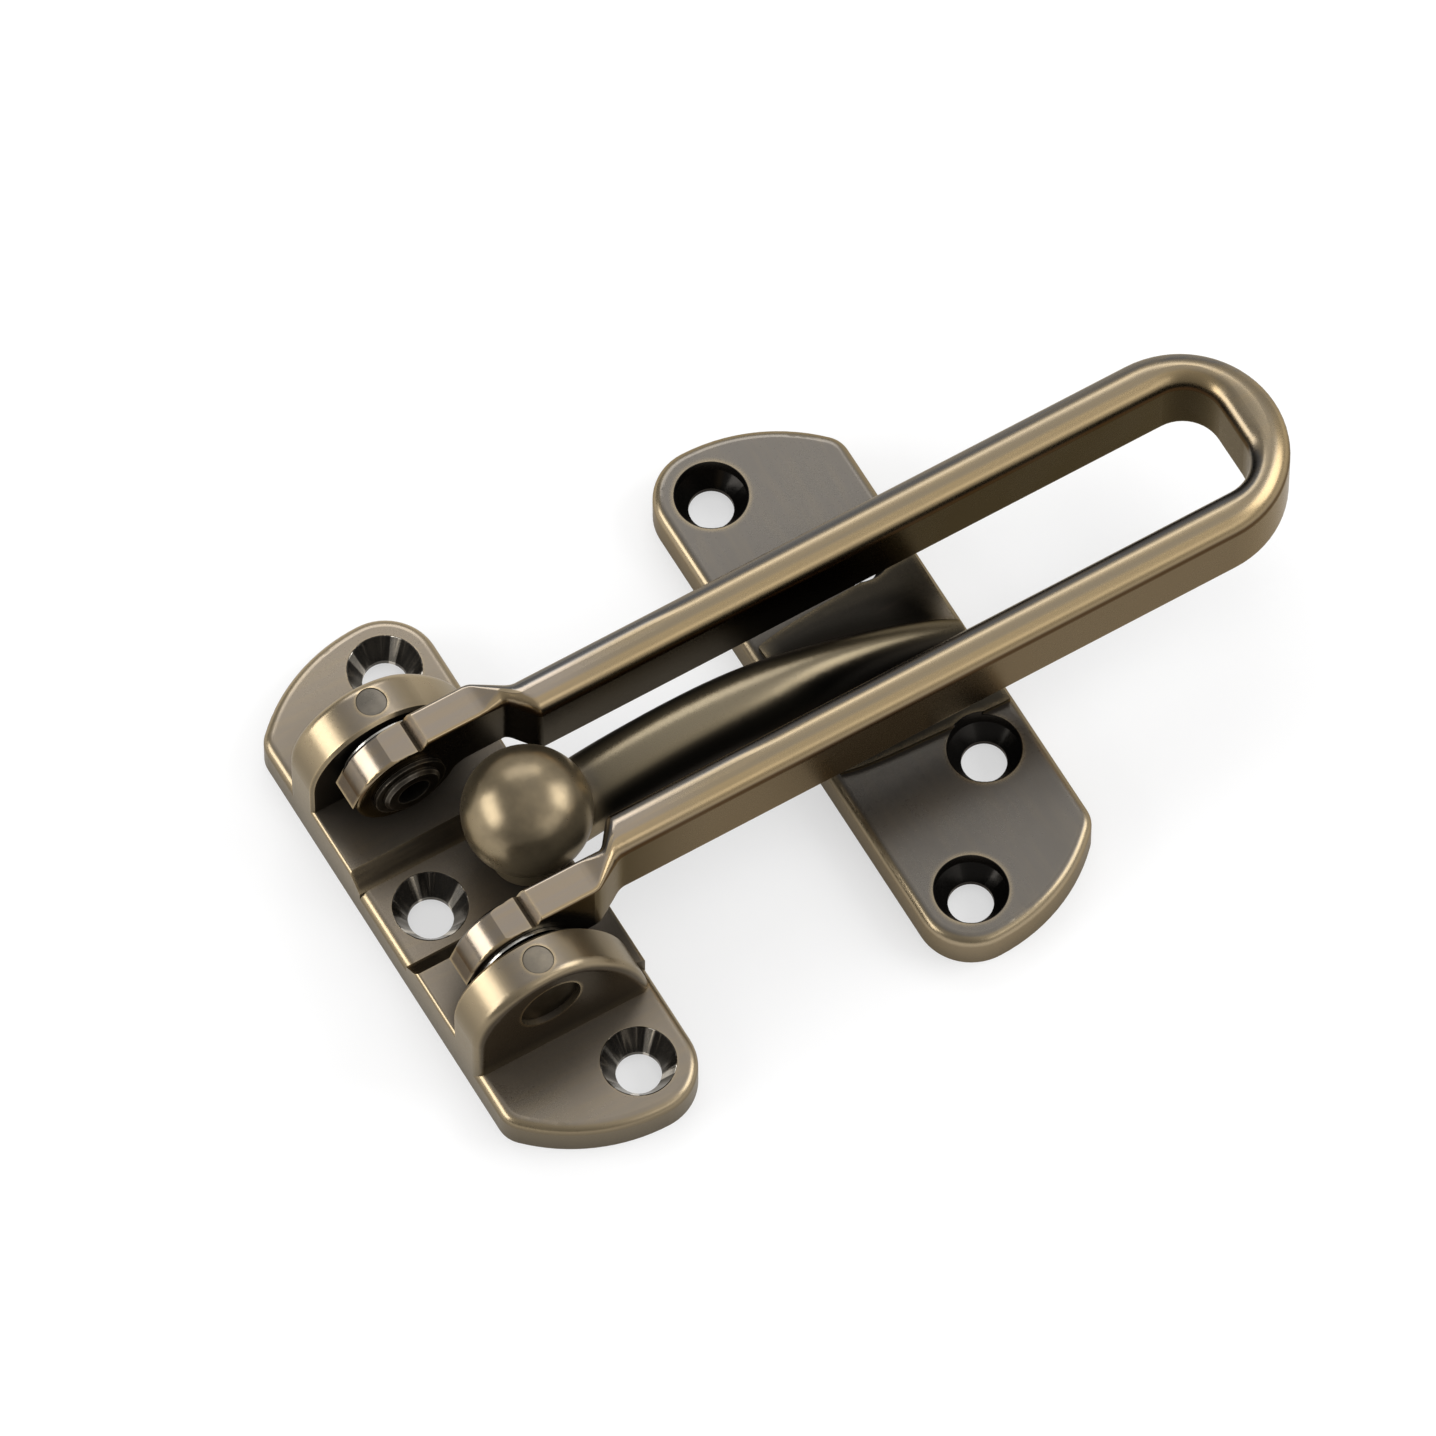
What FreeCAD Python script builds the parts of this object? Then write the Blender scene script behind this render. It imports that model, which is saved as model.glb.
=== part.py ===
import FreeCAD, Part

import math
import os

from FreeCAD import Vector

# A swing-bar door guard. The frame plate carries the swing arm between two
# ears, and the keeper plate, on the door, carries a ball on a curved horn.
# X runs from the hinge to the closed end of the arm, Y along the pivot axis
# and Z up from the two mounting faces. The origin is the middle of the frame
# plate's mounting face.

# Plates, in millimetres
plate_width = 22.2
frame_length = 67.4
keeper_length = 68.2
hole_corner_radius = 6.2
end_arc_radius = 21.0
far_corner_radius = 3.3
plate_edge_round = 1.2
frame_thickness = 4.4
keeper_thickness = 4.8
keeper_x = 50.7

# Holes for 4.5 mm countersunk wood screws
screw_bore = 5.0
screw_sink = 8.1
end_hole_edge = 6.3
end_hole_inset = 6.4
frame_hole_edge = 5.9
inner_hole_edge = 6.0
inner_hole_y = 13.8
keeper_counterbore = 1.6
bore_land = 0.6
bore_relief = 6.4
bore_relief_depth = 1.0

# Frame plate between its ears
floor_half = 5.0
pad_slope_run = 2.2
pad_height = 6.2
pad_edge_round = 0.5

# Ears
ear_inner = 15.2
ear_thickness = 5.3
ear_radius = 8.7
ear_centre_height = 10.7
ear_flank_angle = 48.0
ear_toe_inset = 0.7
ear_outer_round = 1.2
ear_inner_bevel = 0.35

# Pivot
pin_x = -2.0
pin_height = 13.3
pin_journal = 5.0
pin_head = 7.2
pin_recess = 0.7
pin_flare = 6.8
pin_flare_reach = 0.7
pin_flare_bevel = 0.35
pin_hollow = 3.8
pin_hollow_depth = 3.4
lock_pin = 3.3
lock_pin_bite = 1.2
lock_pin_sink = 0.1
fit = 0.05

# Washers
spring_stock = 0.35
spring_height = 0.8
spring_outer = 10.8
washer_outer = 8.6
washer_thickness = 0.5

# Swing arm
knuckle_radius = 6.2
knuckle_thickness = 4.2
knuckle_blend = 2.0
lip_reach = 0.5
lip_angle = 22.0
facet_from = 1.7
facet_to = 1.3
facet_depth = 0.9
groove_run = 1.3
groove_depth = 0.35
leg_rise = 0.8
leg_thickness = 8.4
arm_bar_width = 4.85
slot_half = 7.0
slot_corner_radius = 4.5
loop_wall = 5.4
arm_reach = 102.2
crown_rise = 1.1
crown_radius = 2.05
leg_edge_round = 0.5
bar_low_round = 0.5
jog_outer_start = 9.0
jog_outer_run = 5.2
jog_inner_start = 11.8
jog_inner_run = 3.2
jog_stations = 13
jog_corner = 0.25

# Keeper horn and ball
ball_diameter = 14.4
ball_x = 6.9
ball_height = 15.0
foot_diameter = 8.4
foot_clearance = 0.6
foot_bevel = 0.4
horn_half = 4.4
horn_taper_x = 33.8
crest_x = 27.8
crest_height = 17.4
crest_radius = 54.0
belly_x = 21.8
belly_height = 8.2
belly_radius = 50.0
horn_toe_inset = 0.7
horn_toe_half = 1.2
horn_stations = 7
root_low = 3.4
fin_half = 10.3
fin_start_half = 8.8
fin_flare = 0.5
fin_stations = 6
fin_grip = 0.9
fin_step = 0.7

# Worked out from the sizes above
half_plate = plate_width / 2
ear_outer = ear_inner + ear_thickness
knuckle_outer = ear_inner - spring_height - 2 * fit
knuckle_inner = knuckle_outer - knuckle_thickness
leg_top = pin_height + knuckle_radius + leg_rise
arm_top = leg_top + crown_rise
arm_bottom = leg_top - leg_thickness
bar_outer = slot_half + arm_bar_width
loop_x = pin_x + arm_reach - bar_outer
slot_end = pin_x + arm_reach - loop_wall
frame_hole_x = half_plate - end_hole_edge
middle_hole_x = frame_hole_edge - half_plate
frame_hole_y = frame_length / 2 - end_hole_inset
keeper_low_x = keeper_x - half_plate
keeper_high_x = keeper_x + half_plate
keeper_hole_x = keeper_low_x + end_hole_edge
keeper_hole_y = keeper_length / 2 - end_hole_inset
keeper_inner_x = keeper_high_x - inner_hole_edge
horn_end_x = keeper_high_x - horn_toe_inset
ball_radius = ball_diameter / 2


def line(start, end):
    return Part.LineSegment(start, end).toShape()


def arc_about(centre, start, end):
    """The shorter arc from start to end about centre."""
    radius = start.distanceToPoint(centre)
    middle = (start - centre) + (end - centre)
    middle.normalize()
    return Part.Arc(start, centre + middle * radius, end).toShape()


def joined(edges):
    return Part.Wire(Part.__sortEdges__(edges))


def prism(wire, direction):
    return Part.Face(wire).extrude(direction)


def barrel(radius, x, z, y_from, y_to):
    """A cylinder along Y."""
    return Part.makeCylinder(radius, y_to - y_from, Vector(x, y_from, z), Vector(0, 1, 0))


def edges_on(solid, axis, value):
    """Edges that lie wholly in the plane where the axis has the value."""
    return [edge for edge in solid.Edges
            if all(abs(getattr(vertex, axis) - value) < 1e-6 for vertex in edge.Vertexes)]


def mirrored(shape):
    """The same piece on the other side of the arm's middle plane."""
    return shape.mirror(Vector(0, 0, 0), Vector(0, 1, 0))


def plate_outline(centre_x, side, length):
    """Plate outline with its end-hole corners toward side on X."""
    half_length = length / 2
    far_run = plate_width - hole_corner_radius - far_corner_radius
    far_y = half_length - end_arc_radius + math.sqrt(
        (end_arc_radius - far_corner_radius) ** 2 - far_run ** 2)
    near_y = half_length - hole_corner_radius
    hole_x = centre_x + side * (half_plate - hole_corner_radius)
    far_x = centre_x - side * (half_plate - far_corner_radius)
    near_edge = centre_x + side * half_plate
    far_edge = centre_x - side * half_plate
    edges = [line(Vector(near_edge, near_y, 0), Vector(near_edge, -near_y, 0)),
             line(Vector(far_edge, far_y, 0), Vector(far_edge, -far_y, 0))]
    for end in (1, -1):
        corner = Vector(hole_x, end * near_y, 0)
        sweep = Vector(hole_x, end * (half_length - end_arc_radius), 0)
        far = Vector(far_x, end * far_y, 0)
        peak = Vector(hole_x, end * half_length, 0)
        outward = far - sweep
        outward.normalize()
        tangent = sweep + outward * end_arc_radius
        edges += [arc_about(corner, Vector(near_edge, corner.y, 0), peak),
                  arc_about(sweep, peak, tangent),
                  arc_about(far, tangent, Vector(far_edge, far.y, 0))]
    return joined(edges)


def plate_blank(centre_x, side, length, thickness):
    blank = prism(plate_outline(centre_x, side, length), Vector(0, 0, thickness))
    return blank.makeFillet(plate_edge_round, edges_on(blank, "Z", thickness))


def screw_hole(x, y, top, counterbore):
    """Cutter for a countersunk hole: mouth, cone, short land and back relief."""
    bore = screw_bore / 2
    sink = screw_sink / 2
    relief = bore_relief / 2
    land_low = bore_relief_depth
    land_high = land_low + bore_land
    mouth_low = top - counterbore
    profile = [(0, -top), (relief, -top), (relief, 0), (bore, land_low), (bore, land_high),
               (sink, mouth_low), (sink, 2 * top), (0, 2 * top), (0, -top)]
    wire = Part.makePolygon([Vector(x + radius, y, z) for radius, z in profile])
    return Part.Face(wire).revolve(Vector(x, y, 0), Vector(0, 0, 1), 360)


def ear_profile(y):
    """A round head tangent to the plate's side, with a long arc to its toe."""
    centre = Vector(ear_radius - half_plate, y, ear_centre_height)
    left = Vector(-half_plate, y, ear_centre_height)
    toe = Vector(half_plate - ear_toe_inset, y, frame_thickness)
    angle = math.radians(ear_flank_angle)
    outward = Vector(math.cos(angle), 0, math.sin(angle))
    to_toe = toe - centre
    offset = (to_toe.Length ** 2 - ear_radius ** 2) / (
        2 * (ear_radius - to_toe.dot(outward)))
    touch = centre + outward * ear_radius
    crown = centre + Vector(0, 0, ear_radius)
    left_foot = Vector(-half_plate, y, 0)
    toe_foot = Vector(toe.x, y, frame_thickness / 2)
    toe_root = Vector(0, y, 0)
    return Part.Wire([line(left_foot, left), arc_about(centre, left, crown),
                      arc_about(centre, crown, touch),
                      arc_about(centre - outward * offset, touch, toe),
                      line(toe, toe_foot), line(toe_foot, toe_root),
                      line(toe_root, left_foot)])


def ear_rim(solid, y):
    return [edge for edge in edges_on(solid, "Y", y)
            if max(vertex.Z for vertex in edge.Vertexes) > frame_thickness + fit]


def ear():
    solid = prism(ear_profile(ear_inner), Vector(0, ear_thickness, 0))
    solid = solid.makeFillet(ear_outer_round, ear_rim(solid, ear_outer))
    return solid.makeChamfer(ear_inner_bevel, ear_rim(solid, ear_inner))


def pad():
    """Raised step between the middle floor and the ear on +Y."""
    root = frame_thickness / 2
    slope_end = floor_half + pad_slope_run
    buried = ear_inner + ear_thickness / 2
    corners = [(floor_half, root), (floor_half, frame_thickness),
               (slope_end, pad_height), (buried, pad_height), (buried, root)]
    wire = Part.makePolygon([Vector(-half_plate, y, z) for y, z in corners + corners[:1]])
    solid = prism(wire, Vector(plate_width, 0, 0))
    rim = []
    for x in (-half_plate, half_plate):
        rim += [edge for edge in edges_on(solid, "X", x)
                if min(vertex.Z for vertex in edge.Vertexes) > frame_thickness - fit
                and max(vertex.Z for vertex in edge.Vertexes) > pad_height - fit
                and max(vertex.Y for vertex in edge.Vertexes) > slope_end + fit]
    return solid.makeFillet(pad_edge_round, rim)


def frame_plate():
    half = ear().fuse(pad())
    blank = plate_blank(0, 1, frame_length, frame_thickness)
    solid = blank.fuse([half, mirrored(half)])
    cuts = [barrel(pin_head / 2 + fit, pin_x, pin_height, -ear_outer, ear_outer)]
    for x, y in ((frame_hole_x, frame_hole_y), (frame_hole_x, -frame_hole_y),
                 (middle_hole_x, 0)):
        cuts.append(screw_hole(x, y, frame_thickness, 0))
    lock_y = (ear_inner + ear_outer) / 2
    for y in (lock_y, -lock_y):
        cuts.append(Part.makeCylinder(lock_pin / 2 + fit, 2 * ear_radius,
                                      Vector(pin_x, y, pin_height), Vector(0, 0, 1)))
    return solid.cut(cuts).removeSplitter()


def pivot_pin():
    """Headed hollow rivet on +Y, flared over its washer inside the arm."""
    head_end = ear_outer - pin_recess
    neck_end = knuckle_inner - washer_thickness - fit
    flare_end = neck_end - pin_flare_reach
    head = barrel(pin_head / 2, pin_x, pin_height, ear_inner, head_end)
    journal = barrel(pin_journal / 2, pin_x, pin_height, neck_end, ear_inner)
    flare = barrel(pin_flare / 2, pin_x, pin_height, flare_end, neck_end)
    flare = flare.makeChamfer(pin_flare_bevel, edges_on(flare, "Y", flare_end))
    hollow = barrel(pin_hollow / 2, pin_x, pin_height, flare_end, flare_end + pin_hollow_depth)
    socket = Part.makeCylinder(lock_pin / 2 + fit, ear_radius,
                               Vector(pin_x, (ear_inner + ear_outer) / 2,
                                      pin_height + pin_head / 2 - lock_pin_bite),
                               Vector(0, 0, 1))
    return head.fuse([journal, flare]).cut([hollow, socket]).removeSplitter()


def locking_pin():
    """Plug on +Y that drops through the ear into the pivot pin's head."""
    start = pin_height + pin_head / 2 - lock_pin_bite + fit
    stock = Part.makeCylinder(lock_pin / 2, 2 * ear_radius,
                              Vector(pin_x, (ear_inner + ear_outer) / 2, start),
                              Vector(0, 0, 1))
    bound = barrel(ear_radius - lock_pin_sink, ear_radius - half_plate,
                   ear_centre_height, ear_inner, ear_outer)
    return stock.common(bound)


def spring_washer():
    """Coned friction washer between the knuckle and the ear on +Y."""
    inner = pin_journal / 2 + fit
    outer = spring_outer / 2
    low = knuckle_outer + fit
    rise = spring_height - spring_stock
    corners = [(inner, low + rise), (inner, low + rise + spring_stock),
               (outer, low + spring_stock), (outer, low)]
    wire = Part.makePolygon([Vector(pin_x + radius, y, pin_height)
                             for radius, y in corners + corners[:1]])
    return Part.Face(wire).revolve(Vector(pin_x, 0, pin_height), Vector(0, 1, 0), 360)


def rivet_washer():
    """Flat washer between the pin's flare and the knuckle on +Y."""
    start = knuckle_inner - fit - washer_thickness
    end = knuckle_inner - fit
    solid = barrel(washer_outer / 2, pin_x, pin_height, start, end)
    return solid.cut(barrel(pin_journal / 2 + fit, pin_x, pin_height, start, end))


def knuckle():
    """Hinge eye on +Y with the start of its leg, and the lip behind it."""
    y = knuckle_inner
    pivot = Vector(pin_x, y, pin_height)
    end_x = pin_x + jog_outer_start
    blend_z = arm_bottom - knuckle_blend
    reach = knuckle_radius + knuckle_blend
    blend_x = pin_x + math.sqrt(reach ** 2 - (pin_height - blend_z) ** 2)
    blend = Vector(blend_x, y, blend_z)
    toward = blend - pivot
    touch = pivot + toward * (knuckle_radius / toward.Length)
    foot = Vector(blend_x, y, arm_bottom)
    low = pivot - Vector(0, 0, knuckle_radius)
    back = pivot - Vector(knuckle_radius, 0, 0)
    crown = pivot + Vector(0, 0, knuckle_radius)
    step = Vector(pin_x + facet_to + groove_run, y, leg_top)
    end_low = Vector(end_x, y, arm_bottom)
    end_high = Vector(end_x, y, leg_top)
    profile = Part.Wire([line(end_low, foot), arc_about(blend, foot, touch),
                         arc_about(pivot, touch, low), arc_about(pivot, low, back),
                         arc_about(pivot, back, crown), line(crown, step),
                         line(step, end_high), line(end_high, end_low)])
    solid = prism(profile, Vector(0, knuckle_thickness, 0))
    rims = [edge for face_y in (knuckle_inner, knuckle_outer)
            for edge in edges_on(solid, "Y", face_y)
            if min(vertex.X for vertex in edge.Vertexes) < end_x - 1e-6]
    solid = solid.makeFillet(leg_edge_round, rims)
    lip = math.radians(180 - lip_angle)
    root = pivot + Vector(math.cos(lip), 0, math.sin(lip)) * (knuckle_radius - fit)
    tip = pivot - Vector(knuckle_radius + lip_reach, 0, 0)
    inside = pivot - Vector(knuckle_radius / 2, 0, 0)
    inset = leg_edge_round / 2
    tooth = prism(Part.makePolygon([root, tip, inside, root]),
                  Vector(0, knuckle_thickness - 2 * inset, 0))
    tooth.translate(Vector(0, inset, 0))
    return solid.fuse(tooth)


def bar_section(x, inner, outer, top, top_round, low_round):
    """Rounded rectangle across the arm's +Y bar at x."""
    corners = [(inner, top, top_round), (outer, top, top_round),
               (outer, arm_bottom, low_round), (inner, arm_bottom, low_round)]
    middle_y = (inner + outer) / 2
    middle_z = (top + arm_bottom) / 2
    arcs = []
    for index, (y, z, radius) in enumerate(corners):
        centre_y = y + math.copysign(radius, middle_y - y)
        centre_z = z + math.copysign(radius, middle_z - z)
        on_side = Vector(x, y, centre_z)
        on_face = Vector(x, centre_y, z)
        first, last = (on_side, on_face) if index % 2 == 0 else (on_face, on_side)
        arcs.append((first, arc_about(Vector(x, centre_y, centre_z), first, last), last))
    edges = []
    for index, (first, curve, last) in enumerate(arcs):
        edges += [curve, line(last, arcs[(index + 1) % len(arcs)][0])]
    return Part.Wire(edges)


def ramp(share):
    """Straight rise from 0 to 1 with rounded corners at both ends."""
    share = min(1, max(0, share))
    if share > 0.5:
        return 1 - ramp(1 - share)
    if share > jog_corner:
        return (share - jog_corner / 2) / (1 - jog_corner)
    return share * share / (2 * jog_corner * (1 - jog_corner))


def jog():
    """Where the leg on +Y steps in from the hinge width to the slot width."""
    start = pin_x + jog_outer_start
    end = pin_x + jog_inner_start + jog_inner_run
    sections = []
    for index in range(jog_stations):
        x = start + (end - start) * index / (jog_stations - 1)
        out_share = ramp((x - start) / jog_outer_run)
        in_share = ramp((x - pin_x - jog_inner_start) / jog_inner_run)
        sections.append(bar_section(
            x, knuckle_inner + (slot_half - knuckle_inner) * in_share,
            knuckle_outer + (bar_outer - knuckle_outer) * out_share,
            leg_top + crown_rise * out_share,
            leg_edge_round + (crown_radius - leg_edge_round) * out_share,
            leg_edge_round + (bar_low_round - leg_edge_round) * out_share))
    return Part.makeLoft(sections, True, False)


def bow():
    """The two parallel bars and the closed end that joins them."""
    start = pin_x + jog_inner_start + jog_inner_run
    corner_x = slot_end - slot_corner_radius
    corner_y = slot_half - slot_corner_radius
    centre = Vector(loop_x, 0, arm_bottom)
    tip = Vector(loop_x + bar_outer, 0, arm_bottom)
    edges = [line(Vector(slot_end, corner_y, arm_bottom), Vector(slot_end, -corner_y, arm_bottom))]
    for side in (1, -1):
        out_start = Vector(start, side * bar_outer, arm_bottom)
        out_end = Vector(loop_x, side * bar_outer, arm_bottom)
        in_start = Vector(start, side * slot_half, arm_bottom)
        in_end = Vector(corner_x, side * slot_half, arm_bottom)
        corner = Vector(corner_x, side * corner_y, arm_bottom)
        edges += [line(out_start, out_end), arc_about(centre, out_end, tip),
                  line(in_start, in_end),
                  arc_about(corner, in_end, Vector(slot_end, corner.y, arm_bottom)),
                  line(out_start, in_start)]
    solid = prism(joined(edges), Vector(0, 0, arm_top - arm_bottom))
    for z, radius in ((arm_top, crown_radius), (arm_bottom, bar_low_round)):
        rim = [edge for edge in edges_on(solid, "Z", z)
               if max(vertex.X for vertex in edge.Vertexes) > start + 1e-6]
        solid = solid.makeFillet(radius, rim)
    return solid


def swing_arm():
    half = knuckle().fuse(jog())
    solid = bow().fuse([half, mirrored(half)])
    facet_x = pin_x - facet_from
    facet_z = pin_height + math.sqrt(knuckle_radius ** 2 - facet_from ** 2)
    step_x = pin_x + facet_to
    step_z = leg_top - facet_depth
    over = arm_top + knuckle_radius
    groove = [(facet_x, over), (facet_x, facet_z), (step_x, step_z),
              (step_x + groove_run / 3, step_z - groove_depth),
              (step_x + groove_run, leg_top), (step_x + groove_run, over)]
    wire = Part.makePolygon([Vector(x, -knuckle_outer, z) for x, z in groove + groove[:1]])
    cuts = [prism(wire, Vector(0, 2 * knuckle_outer, 0)),
            barrel(pin_journal / 2 + fit, pin_x, pin_height, -knuckle_outer, knuckle_outer)]
    return solid.cut(cuts).removeSplitter()


def crest(x):
    """Height of the horn's crest over the mounting face."""
    return crest_height - crest_radius + math.sqrt(crest_radius ** 2 - (x - crest_x) ** 2)


def belly(x):
    """Height of the horn's underside, down to where it is inside the plate."""
    run = min(abs(x - belly_x), belly_radius)
    return max(root_low, belly_height - belly_radius + math.sqrt(belly_radius ** 2 - run ** 2))


def horn_half_at(x):
    share = max(0, (x - horn_taper_x) / (horn_end_x - horn_taper_x))
    return horn_half + (horn_toe_half - horn_half) * share ** 1.5


def horn():
    """Tapering gooseneck from inside the ball to its toe on the plate."""
    start = ball_x + ball_radius / 2
    sections = []
    for index in range(horn_stations):
        x = start + (horn_end_x - start) * index / (horn_stations - 1)
        half_height = (crest(x) - belly(x)) / 2
        half_width = horn_half_at(x)
        unit = Part.Wire(Part.makeCircle(1, Vector(0, 0, 0), Vector(1, 0, 0)))
        squash = FreeCAD.Matrix()
        squash.scale(Vector(1, half_width, half_height))
        squash.move(Vector(x, 0, belly(x) + half_height))
        sections.append(unit.transformGeometry(squash))
    return Part.makeLoft(sections, True, False)


def fin_section(x, half_base):
    """Hollow flanks that rise from the plate to the horn's widest line."""
    neck_z = (crest(x) + belly(x)) / 2
    neck_y = horn_half_at(x) * fin_grip
    foot_z = keeper_thickness + fin_step
    rise = neck_z - foot_z
    run = half_base - neck_y
    hollow = (run ** 2 + rise ** 2) / (2 * rise)
    edges = []
    for side in (-1, 1):
        foot = Vector(x, side * half_base, foot_z)
        neck = Vector(x, side * neck_y, neck_z)
        root = Vector(x, side * half_base, keeper_thickness / 2)
        centre = Vector(x, side * half_base, foot_z + hollow)
        edges += [arc_about(centre, foot, neck), line(foot, root)]
    edges.append(line(Vector(x, -neck_y, neck_z), Vector(x, neck_y, neck_z)))
    edges.append(line(Vector(x, -half_base, keeper_thickness / 2),
                      Vector(x, half_base, keeper_thickness / 2)))
    return joined(edges)


def fin():
    """The horn's root, spread over the plate from edge to edge."""
    start = keeper_low_x + plate_edge_round
    sections = []
    for index in range(fin_stations):
        share = index / (fin_stations - 1)
        half = fin_start_half + (fin_half - fin_start_half) * share ** fin_flare
        sections.append(fin_section(start + (horn_end_x - start) * share, half))
    return Part.makeLoft(sections, True, False)


def keeper_plate():
    ball = Part.makeSphere(ball_radius, Vector(ball_x, 0, ball_height))
    foot_z = frame_thickness + foot_clearance
    foot = Part.makeCylinder(foot_diameter / 2, ball_height - foot_z,
                             Vector(ball_x, 0, foot_z), Vector(0, 0, 1))
    foot = foot.makeChamfer(foot_bevel, edges_on(foot, "Z", foot_z))
    blank = plate_blank(keeper_x, -1, keeper_length, keeper_thickness)
    solid = blank.fuse([fin(), horn(), ball, foot])
    cuts = []
    for side in (1, -1):
        cuts.append(screw_hole(keeper_hole_x, side * keeper_hole_y, keeper_thickness,
                               keeper_counterbore))
        cuts.append(screw_hole(keeper_inner_x, side * inner_hole_y, keeper_thickness,
                               keeper_counterbore))
    return solid.cut(cuts).removeSplitter()


def main():
    os.makedirs("parts", exist_ok=True)
    shapes = {
        "frame_plate": frame_plate(),
        "swing_arm": swing_arm(),
        "keeper_plate": keeper_plate(),
        "pivot_pin_back": pivot_pin(),
        "pivot_pin_front": mirrored(pivot_pin()),
        "locking_pin_back": locking_pin(),
        "locking_pin_front": mirrored(locking_pin()),
        "spring_washer_back": spring_washer(),
        "spring_washer_front": mirrored(spring_washer()),
        "rivet_washer_back": rivet_washer(),
        "rivet_washer_front": mirrored(rivet_washer()),
    }
    for name, shape in shapes.items():
        print(name, "solids", len(shape.Solids), "valid", shape.isValid(),
              "volume", round(shape.Volume, 1))
        shape.exportStep("parts/" + name + ".step")


main()
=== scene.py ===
import math

import bpy
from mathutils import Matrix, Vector

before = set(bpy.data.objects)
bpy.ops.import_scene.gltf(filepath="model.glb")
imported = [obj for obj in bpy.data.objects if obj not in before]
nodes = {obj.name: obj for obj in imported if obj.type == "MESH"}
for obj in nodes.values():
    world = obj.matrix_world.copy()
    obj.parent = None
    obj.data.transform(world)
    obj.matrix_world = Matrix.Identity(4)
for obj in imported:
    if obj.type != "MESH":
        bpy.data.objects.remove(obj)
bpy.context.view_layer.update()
scene = bpy.context.scene
print("frame loaded,", len(nodes), "nodes")

perMetre = 1000
white = (1.0, 1.0, 1.0)


class Strand:
    # one number or colour running through a node tree, so that sums read as sums
    def __init__(self, shop, socket):
        self.shop = shop
        self.socket = socket

    def __add__(self, other):
        return self.shop.maths("ADD", self, other)

    def __radd__(self, other):
        return self.shop.maths("ADD", other, self)

    def __sub__(self, other):
        return self.shop.maths("SUBTRACT", self, other)

    def __rsub__(self, other):
        return self.shop.maths("SUBTRACT", other, self)

    def __mul__(self, other):
        return self.shop.maths("MULTIPLY", self, other)

    def __rmul__(self, other):
        return self.shop.maths("MULTIPLY", other, self)

    def __truediv__(self, other):
        return self.shop.maths("DIVIDE", self, other)

    def __pow__(self, other):
        return self.shop.maths("POWER", self, other)

    def __abs__(self):
        return self.shop.maths("ABSOLUTE", self)

    def clamped(self):
        return self.shop.maths("MAXIMUM", self.shop.maths("MINIMUM", self, 1.0), 0.0)

    def between(self, low, high):
        # smooth step from 0 at low to 1 at high
        return self.shop.node("ShaderNodeMapRange", {"interpolation_type": "SMOOTHSTEP"},
                              {"Value": self, "From Min": low, "From Max": high})

    def within(self, rise, fall):
        # up over the first pair of numbers and down again over the second
        return self.between(*rise) * (1 - self.between(*fall))


class Shop:
    # one node tree and the nodes laid out in it
    def __init__(self, tree):
        self.tree = tree

    def node(self, kind, settings, values, output=0):
        made = self.tree.nodes.new(kind)
        for key, value in settings.items():
            setattr(made, key, value)
        pairs = values.items() if isinstance(values, dict) else enumerate(values)
        for key, value in pairs:
            self.feed(made.inputs[key], value)
        return Strand(self, made.outputs[output])

    def maths(self, operation, *values):
        return self.node("ShaderNodeMath", {"operation": operation}, values)

    def axis(self, vector, index):
        return self.node("ShaderNodeSeparateXYZ", {}, [vector], index)

    def feed(self, socket, value):
        if isinstance(value, Strand):
            self.tree.links.new(value.socket, socket)
        elif isinstance(value, tuple) and len(value) < len(socket.default_value):
            # a colour's alpha
            socket.default_value = (*value, 1.0)
        else:
            socket.default_value = value


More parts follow.
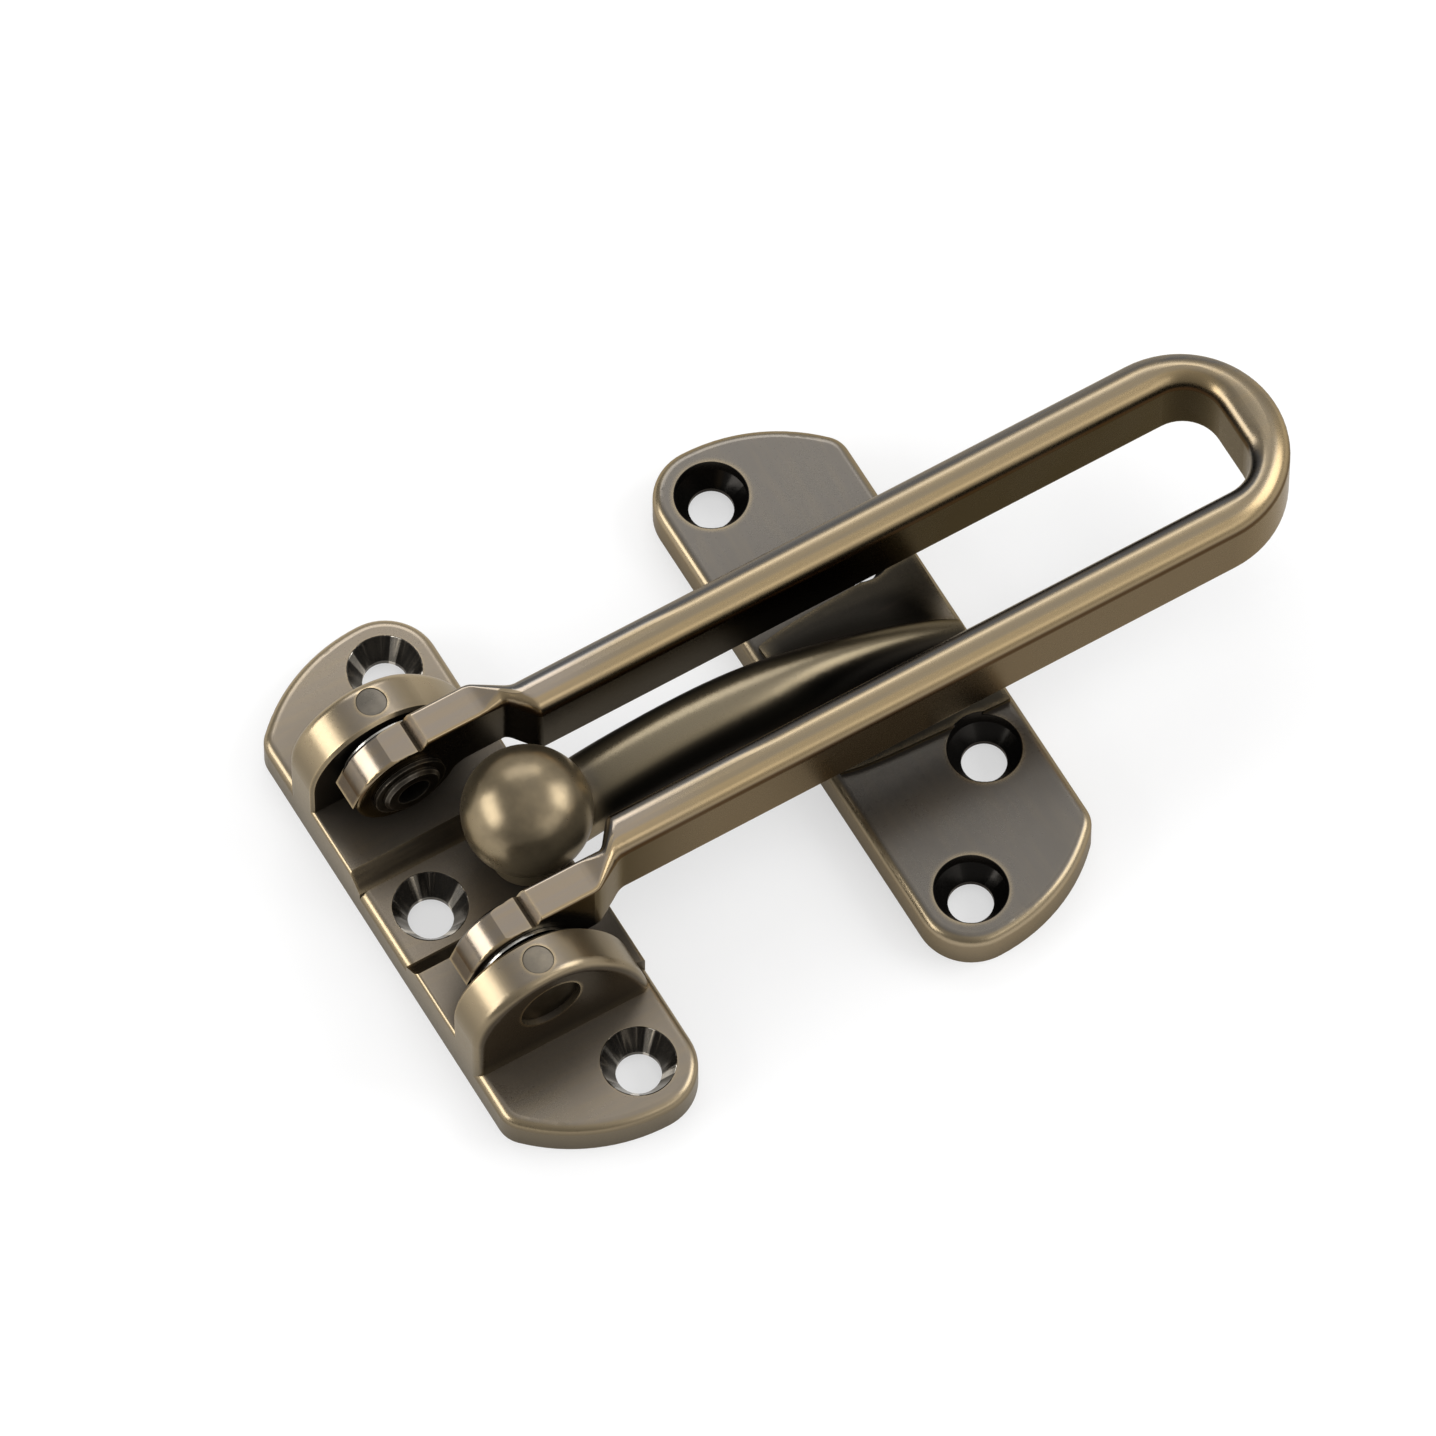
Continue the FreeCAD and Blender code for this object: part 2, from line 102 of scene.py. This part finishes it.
class MetalShop(Shop):
    # a metal that gets its colour, bump and roughness layer by layer
    def __init__(self, name):
        self.material = bpy.data.materials.new(name)
        self.material.use_nodes = True
        super().__init__(self.material.node_tree)
        self.coords = self.node("ShaderNodeTexCoord", {}, {}, "Object")
        # where a point lies along X, Y and Z, in millimetres
        self.across = self.axis(self.coords, 0) * perMetre
        self.along = self.axis(self.coords, 1) * perMetre
        self.level = self.axis(self.coords, 2) * perMetre
        # how far a face turns to +Y, and how far up
        normal = self.node("ShaderNodeTexCoord", {}, {}, "Normal")
        self.facing = self.axis(normal, 1)
        self.up = self.axis(normal, 2)
        self.relief = {}

    def noise(self, scale, detail, roughness, stretch=(1, 1, 1)):
        # scale is in bumps per millimetre
        placed = self.node("ShaderNodeMapping", {}, {"Vector": self.coords, "Scale": stretch})
        return self.node("ShaderNodeTexNoise", {},
                         {"Vector": placed, "Scale": scale * perMetre, "Detail": detail,
                          "Roughness": roughness})

    def corners(self, reach, gain):
        # 1 where a corner is sharp, by how far rounding would turn the surface
        rounded = self.node("ShaderNodeBevel", {"samples": 6}, {"Radius": reach})
        real = self.node("ShaderNodeNewGeometry", {}, {}, "Normal")
        same = self.node("ShaderNodeVectorMath", {"operation": "DOT_PRODUCT"},
                         [rounded, real], "Value")
        return ((1 - same) * gain).clamped()

    def recesses(self, reach, opening):
        openness = self.node("ShaderNodeAmbientOcclusion", {"samples": 8},
                             {"Distance": reach}, "AO")
        return 1 - openness.between(*opening)

    def blend(self, share, first, second):
        # colours mix here, because plain maths would turn them grey
        # a Mix node's colour sockets are 6 and 7, and its colour comes out of 2
        return self.node("ShaderNodeMix", {"data_type": "RGBA"},
                         {"Factor": share, 6: first, 7: second}, 2)

    def paint(self, share, colour):
        self.colour = self.blend(share, self.colour, colour)

    def emboss(self, strength, depth, height):
        self.relief = {"Normal": self.node("ShaderNodeBump", {},
                                           {"Strength": strength, "Distance": depth,
                                            "Height": height, **self.relief})}

    def finish(self, sheen):
        values = {"Base Color": self.colour, "Metallic": self.metal,
                  "Roughness": self.rough.clamped(), "Specular Tint": sheen, **self.relief}
        for name, value in values.items():
            self.feed(self.tree.nodes["Principled BSDF"].inputs[name], value)
        return self.material


# pairs are where a layer starts and where it is full
# across, along and level are in millimetres, reach and depth in metres
brassLook = {
    "top": (0.262, 0.222, 0.174),
    "wall": (0.190, 0.151, 0.096),
    "gold": (0.350, 0.270, 0.155),
    "edge": (0.600, 0.460, 0.260),
    "patina": (0.185, 0.162, 0.132),
    "sootAndShade": (0.008, 0.007, 0.006),
    "sheen": (0.90, 0.85, 0.77),
    "topUp": (0.30, 0.93),
    "shoulderUp": (0.25, 0.70),
    "shoulderEnd": (0.86, 0.99),
    "goldFacing": (0.9, 1.0),
    "shoulderShare": 0.65,
    # a noise's scale, detail and roughness, and how brushing stretches it
    "cloud": (0.09, 4, 0.6),
    "grain": (3.2, 2, 0.5),
    "streak": (0.9, 3, 0.6),
    "brushed": (0.12, 1, 1),
    "patinaFrom": (0.35, 0.75),
    "cloudShare": 0.30,
    "cloudOnWalls": 0.3,
    "streakFrom": (0.4, 0.7),
    "streakShare": 0.15,
    "edgeReach": 0.0007,
    "edgeGain": 7.0,
    "wornFrom": (0.20, 0.55),
    "wornShare": 0.5,
    "recessReach": 0.015,
    "recessOpen": (0.34, 0.90),
    "recessShare": 0.75,
    "recessDull": 0.3,
    "roughness": 0.29,
    "cloudRough": 0.12,
    "grainRough": 0.08,
    "wornGloss": 0.06,
    "recessRough": 0.12,
    "bump": 0.09,
    "bumpDepth": 0.00003,
    "grainBump": 0.6,
    "streakBump": 0.4,
}


def castBrass(name, look):
    # what every casting starts from: wall colour, noises, worn corners, and recesses darkened
    # partly by soot and partly by painted shade
    shop = MetalShop(name)
    shop.colour = look["wall"]
    shop.brushed = shop.up.between(*look["topUp"])
    shop.recess = shop.recesses(look["recessReach"], look["recessOpen"])
    shop.cloud = shop.noise(*look["cloud"])
    shop.grain = shop.noise(*look["grain"])
    shop.streak = shop.noise(*look["streak"], look["brushed"])
    corner = shop.corners(look["edgeReach"], look["edgeGain"])
    shop.worn = (corner * shop.cloud.between(*look["wornFrom"]) * (1 - shop.recess)).clamped()
    onWalls = look["cloudOnWalls"]
    shop.clouded = (shop.cloud.between(*look["patinaFrom"]) * look["cloudShare"]
                    * (onWalls + shop.brushed * (1 - onWalls)))
    shop.metal = 1.0 - shop.recess * look["recessDull"]
    return shop


def brushTop(shop, look, top):
    # the tops take the top colour, partly a brushed finish and partly painted light from above, and
    # the rounded shoulders take gold, partly rubbed brass and partly a painted highlight
    shop.paint(shop.brushed, top)
    shoulder = shop.up.within(look["shoulderUp"], look["shoulderEnd"])
    shoulder = shoulder * (1 - shop.facing.between(*look["goldFacing"]))
    shop.paint(shoulder * look["shoulderShare"], look["gold"])


def ageBrass(shop, look):
    streaks = shop.streak.between(*look["streakFrom"]) * shop.brushed
    shop.paint(shop.clouded, look["patina"])
    shop.paint(streaks * look["streakShare"], look["gold"])
    shop.paint(shop.worn * look["wornShare"], look["edge"])
    # recesses and the spots under other parts take soot and painted shade
    shop.paint(shop.recess * look["recessShare"], look["sootAndShade"])
    shop.emboss(look["bump"], look["bumpDepth"],
                shop.grain * look["grainBump"] + shop.streak * look["streakBump"])
    shop.rough = (look["roughness"] + (shop.cloud - 0.5) * look["cloudRough"]
                  + (shop.grain - 0.5) * look["grainRough"] - shop.worn * look["wornGloss"]
                  + shop.recess * look["recessRough"])


frameLook = {
    **brassLook,
    # painted shade for the broad faces of the ears, and for the steps beside the pads
    "earFacePaintedLight": (0.042, 0.032, 0.022),
    "earLevel": (4.0, 6.5),
    "earAlong": (10.0, 12.0),
    "earFacing": (0.6, 0.9),
    "stepAlong": (5.0, 5.6),
    "stepEnd": (10.0, 11.0),
    "stepUp": (0.80, 0.97),
    "stepFacing": (0.2, 0.4),
    "stepShare": 0.9,
    # screw holes: across, along and radius
    "wells": [(4.8, 27.3, 4.09), (-5.2, 0.0, 4.09)],
    "wellShade": (0.070, 0.064, 0.056),
    "wellRim": 0.08,
    "wellGloss": 0.18,
    # ridges the countersink tool left down the cone
    "ridges": 0.00022,
    "coarseTurn": 4.0,
    "fineTurn": 9.0,
    "fineShift": 1.3,
    "fineShare": 0.4,
    # the glint painted on the ridges' crests is a painted highlight
    "glint": (0.700, 0.650, 0.570),
    "glintFrom": (0.75, 1.10),
}


def brushPlate(shop, look):
    # painted shade darkens the ears' broad faces and the steps beside the pads, but not the ears'
    # ends
    aside = abs(shop.along)
    turned = abs(shop.facing)
    ears = shop.level.between(*look["earLevel"]) + (1 - aside.between(*look["earAlong"]))
    shop.paint(ears.clamped() * turned.between(*look["earFacing"]), look["earFacePaintedLight"])
    brushTop(shop, look, look["top"])
    step = aside.within(look["stepAlong"], look["stepEnd"]) * (1 - shop.up.between(*look["stepUp"]))
    shop.paint(step * turned.between(*look["stepFacing"]) * look["stepShare"], look["earFacePaintedLight"])


def sinkScrewHoles(shop, look):
    walls, ridges = 0.0, 0.0
    for across, along, radius in look["wells"]:
        ahead = shop.across - across
        aside = abs(shop.along) - along if along else shop.along
        gap = (ahead ** 2 + aside ** 2) ** 0.5 - radius
        wall = 1 - gap.between(0.0, look["wellRim"])
        walls = walls + wall
        if look["ridges"]:
            turn = shop.maths("ARCTAN2", aside, ahead)
            coarse = shop.maths("SINE", turn * look["coarseTurn"] + across)
            fine = shop.maths("SINE", turn * look["fineTurn"] + look["fineShift"])
            ridges = ridges + (coarse + fine * look["fineShare"]) * wall
    walls = walls.clamped()
    # the countersinks are painted dark as painted shade
    shop.paint(walls, look["wellShade"])
    shop.rough = shop.rough - walls * look["wellGloss"]
    if look["ridges"]:
        # painted highlight along the ridges' crests
        shop.paint(ridges.between(*look["glintFrom"]), look["glint"])
        shop.emboss(1.0, look["ridges"], ridges)


def frameBrass(name, look):
    shop = castBrass(name, look)
    brushPlate(shop, look)
    ageBrass(shop, look)
    sinkScrewHoles(shop, look)
    return shop.finish(look["sheen"])


armLook = {
    **brassLook,
    "top": (0.262, 0.211, 0.142),
    "wall": (0.126, 0.095, 0.062),
    "gold": (0.370, 0.270, 0.140),
    "sheen": (0.80, 0.71, 0.58),
    "topUp": (0.10, 0.93),
    "shoulderEnd": (0.93, 0.995),
    "goldFacing": (-0.25, 0.05),
    "shoulderShare": 0.75,
    "brushed": (0.04, 1, 1),
    "cloudShare": 0.15,
    "streakShare": 0.22,
    "recessReach": 0.009,
    "roughness": 0.27,
    "bump": 0.04,
    # the brown inner walls
    "inside": (0.010, 0.007, 0.004),
    "insideAlong": (7.2, 8.0),
    # the black hinge legs and their pale tops
    "hinge": (0.018, 0.014, 0.010),
    "hingeAcross": (8.0, 24.0),
    "hingeGloss": 0.08,
    "pale": (0.305, 0.257, 0.207),
    "paleAcross": (14.0, 26.0),
    # a brown line of painted shade where the crown turns down into the wall
    "shadeLine": (0.045, 0.020, 0.006),
    "seamUp": (0.04, 0.16),
    "seamEnd": (0.28, 0.46),
    "seamShare": 0.85,
    # a painted highlight: the side turned to +Y is painted grey
    "greyHighlight": (0.122, 0.122, 0.124),
    "coolFacing": (0.12, 0.36),
    "coolUp": (0.05, 0.20),
    # polishing leaves the bars' tops slightly round, up to the loop's far end
    "crown": 0.085,
    "crownDepth": 0.001,
    "crownReach": 1.6,
    "crownAcross": (27.0, 33.0),
    "loopCentre": 88.35,
    "barCentre": 9.425,
}


def armBrass(name, look):
    shop = castBrass(name, look)
    hinge = 1 - shop.across.between(*look["hingeAcross"])
    shop.paint(1 - abs(shop.along).between(*look["insideAlong"]), look["inside"])
    shop.paint(hinge, look["hinge"])
    pale = 1 - shop.across.between(*look["paleAcross"])
    brushTop(shop, look, shop.blend(pale, look["top"], look["pale"]))
    # painted shade along the foot of the crown
    shadeLine = shop.up.within(look["seamUp"], look["seamEnd"])
    shop.paint(shadeLine * look["seamShare"], look["shadeLine"])
    # painted highlight, grey on the side turned to +Y
    grey = shop.facing.between(*look["coolFacing"]) * shop.up.between(*look["coolUp"])
    shop.paint(grey, look["greyHighlight"])
    ageBrass(shop, look)
    past = shop.maths("MAXIMUM", shop.across - look["loopCentre"], 0.0)
    aside = abs((past ** 2 + shop.along ** 2) ** 0.5 - look["barCentre"])
    turn = shop.maths("MINIMUM", aside / look["crownReach"], 1.0) * math.pi
    swell = shop.maths("COSINE", turn) * look["crown"]
    shop.emboss(1.0, look["crownDepth"], swell * shop.across.between(*look["crownAcross"]))
    shop.rough = shop.rough - hinge * look["hingeGloss"]
    return shop.finish(look["sheen"])


keeperLook = {
    **frameLook,
    "top": (0.158, 0.144, 0.127),
    # the keeper's walls, its turned faces and its wider worn edge band are gold, partly rubbed
    # brass and partly a painted highlight on its rounded rim
    "wall": (0.370, 0.295, 0.195),
    "earFacePaintedLight": (0.215, 0.152, 0.074),
    "patina": (0.116, 0.106, 0.092),
    "sheen": (0.50, 0.45, 0.38),
    "edgeReach": 0.0012,
    "edgeGain": 6.0,
    "brushed": (1, 0.15, 1),
    "streakShare": 0.05,
    "bump": 0.05,
    "wells": [(45.9, 27.7, 4.09), (55.8, 13.8, 4.09)],
    "wellShade": (0.014, 0.013, 0.012),
    "ridges": 0,
    # the horn, golden along its crest, with painted shade making it black down its sides
    "hornLevel": (4.9, 5.7),
    "hornAcross": (13.0, 16.0),
    "crest": (0.205, 0.168, 0.106),
    "crestShare": 0.8,
    "flankShade": (0.036, 0.030, 0.022),
    "flankUp": (0.62, 0.93),
    "flankShare": 0.97,
    "hornPatina": 0.9,
    # the hollows at its root, painted black as shade, with faint polishing lines
    "hollowAcross": (37.0, 43.0),
    "hollowAlong": (0.8, 2.6),
    "pitShade": (0.001, 0.001, 0.001),
    "hollow": (0.007, 0.005, 0.004),
    "lines": (1.1, 3, 0.6, (0.06, 1, 1)),
    "linesFrom": (0.50, 0.75),
    # the ball, golden all round
    "ballAcross": (13.0, 15.0),
    "ball": (0.262, 0.208, 0.130),
    "ballStain": (0.185, 0.146, 0.090),
    "ballCloud": (0.40, 0.60),
    "ballLessSootAndShade": 0.95,
    "ballScuff": 0.01,
    "ballDull": 0.08,
}


def keeperBrass(name, look):
    shop = castBrass(name, look)
    brushPlate(shop, look)
    horn = shop.level.between(*look["hornLevel"]) * shop.across.between(*look["hornAcross"])
    flankShade = 1 - shop.up.between(*look["flankUp"])
    hollow = (shop.across.between(*look["hollowAcross"])
              * abs(shop.along).between(*look["hollowAlong"]))
    lines = shop.noise(*look["lines"]).between(*look["linesFrom"])
    shop.paint(horn * look["crestShare"], look["crest"])
    # painted shade, black down the horn's sides and in the hollows at its root
    shop.paint(horn * flankShade * look["flankShare"], look["flankShade"])
    shop.paint(horn * hollow * look["flankShare"],
               shop.blend(lines, look["pitShade"], look["hollow"]))
    ball = 1 - shop.across.between(*look["ballAcross"])
    stain = shop.cloud.between(*look["ballCloud"])
    shop.paint(ball, shop.blend(stain, look["ball"], look["ballStain"]))
    # soot, painted shade and patina gather less on the horn and the ball
    shop.recess = shop.recess * (1 - ball * look["ballLessSootAndShade"])
    shop.clouded = shop.clouded * (1 - horn * look["hornPatina"])
    shop.metal = shop.metal - ball * look["ballDull"]
    shop.brushed = shop.brushed * (1 - horn)
    ageBrass(shop, look)
    shop.rough = shop.rough + ball * look["ballScuff"]
    sinkScrewHoles(shop, look)
    return shop.finish(look["sheen"])


rivetLook = {
    "base": (0.040, 0.035, 0.029),
    "stain": (0.070, 0.060, 0.047),
    "edge": (0.450, 0.400, 0.320),
    "sootAndShade": (0.004, 0.004, 0.004),
    "sheen": (0.55, 0.50, 0.43),
    "mottle": (0.5, 4, 0.6),
    "stainFrom": (0.30, 0.75),
    "edgeReach": 0.0003,
    "edgeGain": 5.0,
    "wornShare": 0.6,
    "recessReach": 0.003,
    "recessOpen": (0.25, 0.80),
    "recessShare": 0.8,
    "grain": (5.0, 2, 0.5),
    "bump": 0.35,
    "bumpDepth": 0.00002,
    "roughness": 0.32,
    "mottleRough": 0.2,
    "metal": 0.95,
}
plugLook = {
    **rivetLook,
    "base": (0.120, 0.108, 0.090),
    "stain": (0.165, 0.146, 0.120),
    "edge": (0.060, 0.050, 0.038),
    "recessReach": 0.001,
    "roughness": 0.30,
}
# the front ear's plug is nearly the ear's own colour
earPlugLook = {
    **plugLook,
    "base": (0.175, 0.154, 0.124),
    "stain": (0.225, 0.195, 0.150),
}
springLook = {
    **rivetLook,
    "base": (0.600, 0.585, 0.540),
    "stain": (0.450, 0.430, 0.385),
    "edge": (0.800, 0.780, 0.720),
    "sheen": white,
    "recessReach": 0.001,
    "roughness": 0.20,
    "metal": 1.0,
}


def pinSteel(name, look):
    shop = MetalShop(name)
    mottle = shop.noise(*look["mottle"])
    corner = shop.corners(look["edgeReach"], look["edgeGain"])
    recess = shop.recesses(look["recessReach"], look["recessOpen"])
    shop.colour = shop.blend(mottle.between(*look["stainFrom"]), look["base"], look["stain"])
    shop.paint(corner * look["wornShare"], look["edge"])
    # recesses take soot and painted shade
    shop.paint(recess * look["recessShare"], look["sootAndShade"])
    shop.emboss(look["bump"], look["bumpDepth"], shop.noise(*look["grain"]))
    shop.rough = look["roughness"] + (mottle - 0.5) * look["mottleRough"]
    shop.metal = look["metal"]
    return shop.finish(look["sheen"])


finishes = {
    "frame_plate": frameBrass("framePlateBrass", frameLook),
    "swing_arm": armBrass("swingArmBrass", armLook),
    "keeper_plate": keeperBrass("keeperBrass", keeperLook),
    "locking_pin_back": pinSteel("lockPlug_back", plugLook),
    "locking_pin_front": pinSteel("lockPlug_front", earPlugLook),
}
for end in ("back", "front"):
    finishes["pivot_pin_" + end] = pinSteel("rivet_" + end, rivetLook)
    finishes["rivet_washer_" + end] = pinSteel("rivetWasher_" + end, rivetLook)
    finishes["spring_washer_" + end] = pinSteel("springWasher_" + end, springLook)
for name, material in finishes.items():
    for place in nodes[name].material_slots:
        place.material = material
print("finishes on", len(finishes), "nodes")

studio = {
    "floorSize": 6.0,
    "floorColour": (0.97, 0.97, 0.97),
    "floorRoughness": 0.9,
    "floorWhite": 0.56,
    # the sky is brighter overhead than at the horizon, and dimmer over the hinge end
    "horizon": 0.62,
    "zenith": 1.0,
    "hingeEnd": 0.5,
    "hingeEndAcross": (-0.45, 0.25),
    "lamps": [
        # place, aim, width and height in metres, watts
        ((0.20, 0.475, 0.475), (0.04, 0.0, 0.01), (0.60, 0.26), 1.2),
        ((-0.48, 0.17, 0.22), (0.0, 0.0, 0.01), (0.50, 0.28), 2.0),
        ((0.28, -0.80, 0.48), (0.04, 0.0, 0.01), (0.60, 0.30), 0.5),
        ((0.62, -0.22, 0.44), (0.04, 0.0, 0.01), (0.50, 0.40), 2.4),
    ],
}

world = bpy.data.worlds.new("studioWorld")
scene.world = world
world.use_nodes = True
sky = Shop(world.node_tree)
heading = sky.node("ShaderNodeTexCoord", {}, {}, "Generated")
overhead = sky.axis(heading, 2).between(0.0, 1.0)
overhead = studio["horizon"] + overhead * (studio["zenith"] - studio["horizon"])
sideways = sky.axis(heading, 0).between(*studio["hingeEndAcross"])
sideways = studio["hingeEnd"] + sideways * (1 - studio["hingeEnd"])
backdrop = sky.tree.nodes["Background"]
sky.feed(backdrop.inputs["Color"], white)
sky.feed(backdrop.inputs["Strength"], overhead * sideways)

bpy.ops.object.select_all(action="DESELECT")
bpy.ops.mesh.primitive_plane_add(size=studio["floorSize"], location=(0, 0, 0))
floor = bpy.context.object
floor.name = "studioFloor"
floorPaint = bpy.data.materials.new("floorPaint")
floorPaint.use_nodes = True
ground = Shop(floorPaint.node_tree)
paint = ground.tree.nodes["Principled BSDF"]
ground.feed(paint.inputs["Base Color"], studio["floorColour"])
ground.feed(paint.inputs["Roughness"], studio["floorRoughness"])
# the eye and the metal see the floor partly as plain white, so its shadow stays light
seen = ground.node("ShaderNodeLightPath", {}, {}, "Is Camera Ray")
rays = seen.socket.node.outputs
for ray in ("Is Glossy Ray", "Is Transmission Ray"):
    seen = ground.maths("MAXIMUM", seen, Strand(ground, rays[ray]))
glow = ground.node("ShaderNodeEmission", {}, {"Color": white})
mix = ground.node("ShaderNodeMixShader", {},
                  [seen * studio["floorWhite"], Strand(ground, paint.outputs[0]), glow])
ground.feed(ground.tree.nodes["Material Output"].inputs["Surface"], mix)
floor.data.materials.append(floorPaint)

for number, (place, aim, (wide, tall), watts) in enumerate(studio["lamps"]):
    data = bpy.data.lights.new("softbox%d" % number, "AREA")
    data.shape = "RECTANGLE"
    data.size = wide
    data.size_y = tall
    data.energy = watts
    lamp = bpy.data.objects.new(data.name, data)
    scene.collection.objects.link(lamp)
    lamp.location = place
    lamp.rotation_euler = (Vector(aim) - Vector(place)).to_track_quat("-Z", "Y").to_euler()
    lamp.visible_camera = False
print("studio lit by", len(studio["lamps"]), "softboxes")

# the photograph's long lens, high over the hinge end
view = {
    "azimuth": -30.28,
    "elevation": 62.89,
    "distance": 2.117,
    "aim": (0.03365, 0.00527, 0.0016),
    "lens": 490.9,
    "sensor": 36,
    "nearest": 0.05,
    "farthest": 20,
}
turn, rise = math.radians(view["azimuth"]), math.radians(view["elevation"])
back = Vector((math.sin(turn) * math.cos(rise), -math.cos(turn) * math.cos(rise), math.sin(rise)))
lens = bpy.data.cameras.new("photoCamera")
lens.sensor_width = view["sensor"]
lens.lens = view["lens"]
lens.clip_start = view["nearest"]
lens.clip_end = view["farthest"]
camera = bpy.data.objects.new("photoCamera", lens)
scene.collection.objects.link(camera)
camera.location = Vector(view["aim"]) + back * view["distance"]
camera.rotation_euler = (-back).to_track_quat("-Z", "Y").to_euler()
scene.camera = camera
scene.view_settings.view_transform = "Standard"
print("camera set")
